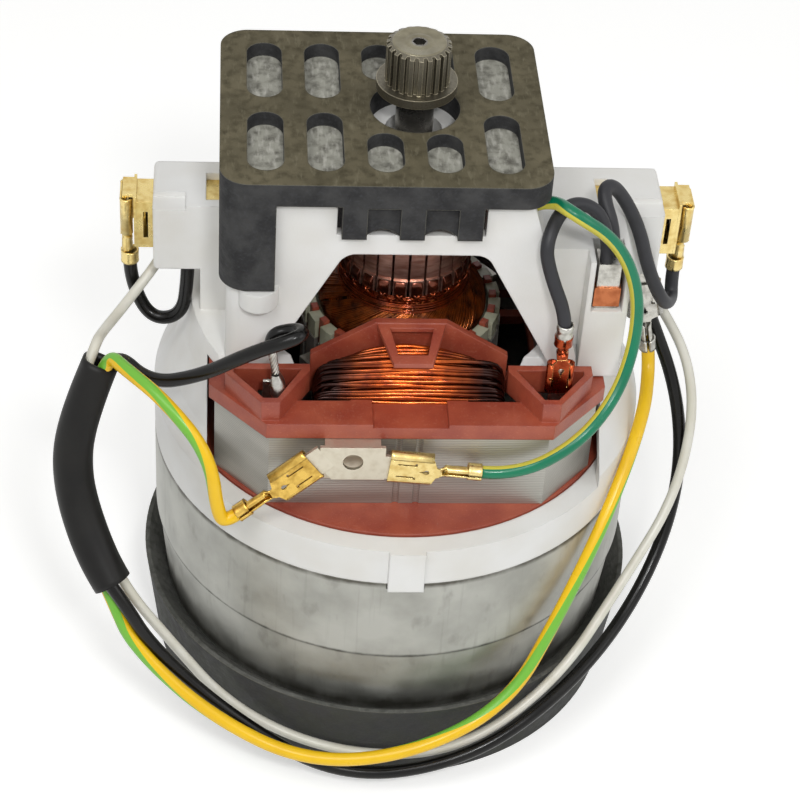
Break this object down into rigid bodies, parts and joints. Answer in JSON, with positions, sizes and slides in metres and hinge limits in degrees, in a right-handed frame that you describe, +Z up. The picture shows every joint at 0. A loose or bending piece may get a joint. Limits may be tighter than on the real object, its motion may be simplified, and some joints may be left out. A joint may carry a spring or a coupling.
{
  "type": "vacuum_motor",
  "caption": "Vertical universal motor with fan housing for a vacuum cleaner, rubber mounts, toothed drive pinion and loose terminal wiring",
  "frame": {"origin": "on the floor plane at the shaft line, which is the middle of the base ring", "axes": "+Z up along the shaft towards the pinion, -Y towards the viewer of the picture, +X to the picture's right, through the brush axis"},
  "size_m": [0.1448, 0.1238, 0.164],
  "materials": {
    "steel": "satin",
    "sintered_steel": "matte",
    "commutator_copper": "satin",
    "dark_moulding": "matte",
    "laminations": "satin",
    "pale_insulator": "matte",
    "red_insulator": "satin",
    "enamelled_copper": "gloss",
    "white_plastic": "satin",
    "grey_rubber": "matte",
    "aluminium": "brushed",
    "brass": "satin",
    "carbon": "matte",
    "spring_steel": "satin",
    "tinned_steel": "satin",
    "cutout_case": "satin",
    "copper_band": "satin",
    "dark_sleeve": "matte",
    "black_insulation": "gloss",
    "white_insulation": "gloss",
    "yellow_insulation": "gloss",
    "green_insulation": "gloss"
  },
  "bodies": {
    "stator": {"bearing_outer_rings": "steel", "diffuser": "dark_moulding", "stator_core": "laminations", "upper_end_frame": "red_insulator", "lower_end_frame": "red_insulator", "field_coil_front": "enamelled_copper", "field_coil_rear": "enamelled_copper", "motor_housing": "white_plastic", "top_rubber_mount": "grey_rubber", "bottom_rubber_ring": "grey_rubber", "fan_shell": "aluminium", "lower_bearing_bracket": "aluminium", "brush_tube_right": "brass", "brush_tube_left": "brass", "brush_cap_right": "brass", "brush_cap_left": "brass", "brush_receptacle_right": "brass", "brush_receptacle_left": "brass", "bond_receptacle": "brass", "earth_receptacle_left": "brass", "brush_spring_right": "spring_steel", "brush_spring_left": "spring_steel", "field_terminal_left": "tinned_steel", "field_terminal_right": "tinned_steel", "field_receptacle": "tinned_steel", "earth_bracket": "tinned_steel", "far_earth_tab": "tinned_steel", "earth_receptacle_right": "tinned_steel", "thermal_cutout": "cutout_case", "cutout_band": "copper_band", "cable_sleeve": "dark_sleeve", "lead_black": "black_insulation", "field_wire": "black_insulation", "brush_wire_right": "black_insulation", "brush_wire_left": "black_insulation", "lead_white": "white_insulation", "lead_earth": "yellow_insulation", "bond_wire": "green_insulation"},
    "rotor": {"rotor_shaft": "steel", "drive_pinion": "sintered_steel", "bearing_inner_rings": "steel", "commutator_bars": "commutator_copper", "commutator_hub": "dark_moulding", "armature_core": "laminations", "armature_end_insulators": "pale_insulator", "slot_wedges": "red_insulator", "armature_winding": "enamelled_copper", "impeller": "aluminium", "fan_nut": "steel", "fan_spacer": "steel"},
    "brush_right": {"carbon_brush_right": "carbon"},
    "brush_left": {"carbon_brush_left": "carbon"}
  },
  "joints": [
    {"name": "rotor_spin", "type": "hinge", "parent": "stator", "child": "rotor", "pos_m": [0, 0, 0.1], "axis": [0, 0, 1], "continuous": true},
    {"name": "brush_slide_right", "type": "slide", "parent": "stator", "child": "brush_right", "axis": [1, 0, 0], "range_m": [0, 0.006], "stiffness_N_per_m": 120, "springref_m": -0.025, "deforming": ["brush_spring_right"]},
    {"name": "brush_slide_left", "type": "slide", "parent": "stator", "child": "brush_left", "axis": [-1, 0, 0], "range_m": [0, 0.006], "stiffness_N_per_m": 120, "springref_m": -0.025, "deforming": ["brush_spring_left"]}
  ]
}
